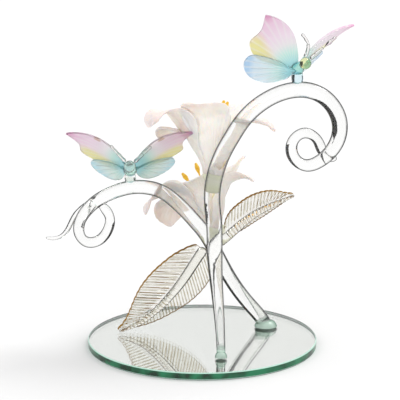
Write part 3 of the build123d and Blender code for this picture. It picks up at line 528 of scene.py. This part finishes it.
# Wings: glass paddled flat and combed with a fork while hot, which leaves the fine ribs that fan
# out from the root, then sprayed with a transparent lustre that runs from aqua to pink.
def lustre_wing(name, root, span, chord, stops, fore_wing, dabbed, clearness):
    """Clear wing with a lustre that changes along its span and towards its tail.

    Places on the wing are shares of its length, out along the span and back towards the tail.
    """
    wing_length = 0.0375
    teeth_per_turn = 46
    dab_out, dab_back = 0.56, -0.185
    dab_edge, dab_heart = 0.036, 0.020
    span = Vector(span).normalized()
    chord = Vector(chord)
    chord = (chord - span * chord.dot(span)).normalized()
    lustre, tree = new_finish(name)
    object_place = put(tree, "ShaderNodeTexCoord").outputs["Object"]
    out = put(tree, "ShaderNodeVectorMath", {0: object_place, 1: root}, operation="SUBTRACT")
    along = put(tree, "ShaderNodeVectorMath", {0: out.outputs[0], 1: span / wing_length},
                operation="DOT_PRODUCT").outputs["Value"]
    back = put(tree, "ShaderNodeVectorMath", {0: out.outputs[0], 1: chord / wing_length},
               operation="DOT_PRODUCT").outputs["Value"]
    reach = put(tree, "ShaderNodeVectorMath", {0: out.outputs[0]}, operation="LENGTH")
    reach = put(tree, "ShaderNodeMath", {0: reach.outputs["Value"], 1: wing_length}, operation="DIVIDE")
    tint = put(tree, "ShaderNodeValToRGB", {0: reach.outputs[0]})
    ramp = tint.color_ramp.elements
    while len(ramp) < len(stops):
        ramp.new(0.5)
    for element, (way_out, code) in zip(ramp, stops):
        element.position = way_out
        element.color = srgb(code)
    colour = tint.outputs[0]
    if fore_wing:
        # Pale yellow on the rear of the fore wing, but not at its tip.
        low_edge = put(tree, "ShaderNodeMapRange", {
            "Value": back, "From Min": 0.11, "From Max": 0.28}, interpolation_type="SMOOTHSTEP")
        middle = put(tree, "ShaderNodeMapRange", {
            "Value": along, "From Min": 0.85, "From Max": 0.62}, interpolation_type="SMOOTHSTEP")
        yellow = put(tree, "ShaderNodeMath", {0: low_edge.outputs[0], 1: middle.outputs[0]},
                     operation="MULTIPLY")
        colour = put(tree, "ShaderNodeMix", {
            0: yellow.outputs[0], 6: colour, 7: srgb("#f5efac")}, data_type="RGBA").outputs[2]
    # The combed lines fan out from the root and show white.
    angle = put(tree, "ShaderNodeMath", {0: back, 1: along}, operation="ARCTAN2")
    comb = put(tree, "ShaderNodeMath", {0: angle.outputs[0], 1: teeth_per_turn}, operation="MULTIPLY")
    comb = put(tree, "ShaderNodeMath", {0: comb.outputs[0]}, operation="SINE")
    streak = put(tree, "ShaderNodeMapRange", {
        "Value": comb.outputs[0], "From Min": 0.3, "From Max": 1.0, "To Max": 0.5})
    colour = put(tree, "ShaderNodeMix", {
        0: streak.outputs[0], 6: colour, 7: srgb("#fbfaf8")}, data_type="RGBA").outputs[2]
    if dabbed:
        # A short dab of brown gold on the leading edge, twice as long as it is wide.
        off = put(tree, "ShaderNodeMath", {0: along, 1: dab_out}, operation="SUBTRACT")
        off = put(tree, "ShaderNodeMath", {0: off.outputs[0], 1: 0.5}, operation="MULTIPLY")
        rise = put(tree, "ShaderNodeMath", {0: back, 1: dab_back}, operation="SUBTRACT")
        spot = put(tree, "ShaderNodeCombineXYZ", {0: off.outputs[0], 1: rise.outputs[0]})
        spot = put(tree, "ShaderNodeVectorMath", {0: spot.outputs[0]}, operation="LENGTH")
        dab = put(tree, "ShaderNodeMapRange", {
            "Value": spot.outputs["Value"], "From Min": dab_edge, "From Max": dab_heart,
            "To Max": 0.75})
        colour = put(tree, "ShaderNodeMix", {
            0: dab.outputs[0], 6: colour, 7: srgb("#b98a52")}, data_type="RGBA").outputs[2]
    ribs = put(tree, "ShaderNodeBump", {"Height": comb.outputs[0], "Strength": 0.05, "Distance": 0.0003})
    gloss = put(tree, "ShaderNodeBsdfPrincipled", {
        "Base Color": colour, "Roughness": 0.28, "IOR": 1.47, "Transmission Weight": clearness,
        "Normal": ribs.outputs[0]})
    put(tree, "ShaderNodeOutputMaterial", {"Surface": gloss.outputs[0]})
    return lustre


# Lustre colours by their distance from the wing's root, as shares of the wing's length.
fore_stops = [(0.10, "#a9e9ef"), (0.26, "#d2f6ee"), (0.40, "#f6f2f5"), (0.55, "#fae8f5"),
              (0.82, "#f8daed"), (0.98, "#ecaad0")]
blue_hind_stops = [(0.10, "#a9e9ef"), (0.24, "#d2f4f1"), (0.42, "#e4f5fb"), (0.58, "#e0f1fc"),
                   (0.66, "#bddcf6"), (0.80, "#b4d8f5")]
aqua_hind_stops = [(0.10, "#a9e9ef"), (0.24, "#cdf3ec"), (0.42, "#e4f7ee"), (0.58, "#d9f3f4"),
                   (0.66, "#c6ebf3"), (0.80, "#b6e4f2")]
# Rows: root of the wing, the way along its span, the way towards its tail, and its clearness.
wing_rows = {
    "left_butterfly_left": (
        (-0.0415, 0.0012, 0.1001), (-0.873, 0.10, 0.477), (-0.229, 0.778, -0.585), 0.82),
    "left_butterfly_right": (
        (-0.0367, 0.0012, 0.1001), (0.85, -0.02, 0.51), (0.266, 0.783, -0.563), 0.82),
    "right_butterfly_left": (
        (0.0490, -0.0085, 0.1556), (-0.44, -0.376, 0.81), (-0.885, 0.038, -0.461), 0.65),
    "right_butterfly_right": (
        (0.0512, -0.0041, 0.1566), (0.80, 0.24, 0.55), (-0.45, 0.62, -0.643), 0.15),
}
for wing, (root, span, chord, clearness) in wing_rows.items():
    on_left_butterfly = wing.startswith("left_butterfly")
    hind_stops = aqua_hind_stops if on_left_butterfly else blue_hind_stops
    dress(f"{wing}_forewing", lustre_wing(
        f"lustre_{wing}_forewing", root, span, chord, fore_stops, True, on_left_butterfly, clearness))
    dress(f"{wing}_hindwing", lustre_wing(
        f"lustre_{wing}_hindwing", root, span, chord, hind_stops, False, False, clearness))


# Butterfly bodies: a gather of turquoise glass drawn into a clear tail, a clear bead for the head,
# two clear drawn feelers, and a clear blob that fuses the body to its stem.
def drawn_body(name, chest, forward, chest_colour, tail_colour):
    """Turquoise glass that fades to clear behind the chest."""
    fade_from = 0.001
    fade_full = -0.006
    swirl_size = 0.003846
    glass, tree = new_finish(name)
    object_place = put(tree, "ShaderNodeTexCoord").outputs["Object"]
    from_chest = put(tree, "ShaderNodeVectorMath", {0: object_place, 1: chest}, operation="SUBTRACT")
    ahead = put(tree, "ShaderNodeVectorMath", {
        0: from_chest.outputs[0], 1: Vector(forward).normalized()}, operation="DOT_PRODUCT")
    fade = put(tree, "ShaderNodeMapRange", {
        "Value": ahead.outputs["Value"], "From Min": fade_full, "From Max": fade_from})
    # Streaks of a greener glass swirl through the chest.
    swirl = put(tree, "ShaderNodeTexNoise", {
        "Vector": object_place, "Scale": 1 / swirl_size, "Detail": 2.0})
    chest_tint = put(tree, "ShaderNodeValToRGB", {0: swirl.outputs[0]})
    chest_tint.color_ramp.elements[0].position = 0.4
    chest_tint.color_ramp.elements[0].color = srgb(chest_colour)
    chest_tint.color_ramp.elements[1].position = 0.65
    chest_tint.color_ramp.elements[1].color = srgb("#a9e4cf")
    colour = put(tree, "ShaderNodeMix", {
        0: fade.outputs[0], 6: srgb(tail_colour), 7: chest_tint.outputs[0]}, data_type="RGBA")
    gloss = put(tree, "ShaderNodeBsdfPrincipled", {
        "Base Color": colour.outputs[2], "Roughness": 0.02, "IOR": 1.47, "Transmission Weight": 0.9})
    put(tree, "ShaderNodeOutputMaterial", {"Surface": gloss.outputs[0]})
    return glass


def full_body(side, chest, forward, finish):
    """The carried-over body with its chest swelled over the wing roots, as it is where they fuse."""
    swell_reach = 0.0055
    most_swell = 0.24
    shape = bmesh.new()
    shape.from_mesh(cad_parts[f"{side}_butterfly_body"].data)
    bmesh.ops.remove_doubles(shape, verts=shape.verts, dist=0.000001)
    along = Vector(forward).normalized()
    for vert in shape.verts:
        out = vert.co - Vector(chest)
        ahead = out.dot(along)
        swell = most_swell * max(0.0, 1 - (ahead / swell_reach) ** 2)
        vert.co += (out - along * ahead) * swell
    for face in shape.faces:
        face.smooth = True
    body = new_piece(f"{side}_butterfly_fused_body", shape, finish)
    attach(body, "root")
    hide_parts(f"{side}_butterfly_body")


# Rows: middle of the chest, the way the butterfly faces, and the colours of its chest and tail.
body_rows = {
    "left": ((-0.0394, 0.0022, 0.0987), (0.0, -0.87, 0.49), "#aee2ec", "#eef6ee"),
    "right": ((0.0500, -0.0070, 0.1561), (0.60, -0.55, 0.46), "#6fd0dd", "#dcebf8"),
}
for side, (chest, forward, chest_colour, tail_colour) in body_rows.items():
    full_body(side, chest, forward, drawn_body(
        f"turquoise_glass_{side}", chest, forward, chest_colour, tail_colour))
# The heads are round beads, water-clear on the left and lime on the right, outlined in painted shade.
dress("left_butterfly_head", clear_glass("clear_bead_left_head", "#f4f4f0", "#6f6f6a", 0.35, 0.75))
dress("right_butterfly_head", clear_glass("lime_bead_right_head", "#e9edb4", "#8aa39a", 0.30, 0.80))
# The feelers are clear threads with a dark outline of painted shade.
feeler_glass = clear_glass("drawn_feeler_glass", "#f7f4f3", "#2c2928", 0.22, 0.52)
dress("left_butterfly_antennae", feeler_glass)
dress("right_butterfly_antennae", feeler_glass)
# The blobs are clear, with only a faint outline of painted shade. The right one has taken some aqua from
# its body.
blob_glass = clear_glass("clear_fusing_blob", "#f6f9f9", "#b4bcbe", 0.40, 0.85)
dress("left_butterfly_bead", blob_glass)
dress("right_butterfly_bead", clear_glass("aqua_fusing_blob", "#dcf1f7", "#7fb4c8", 0.30, 0.85))
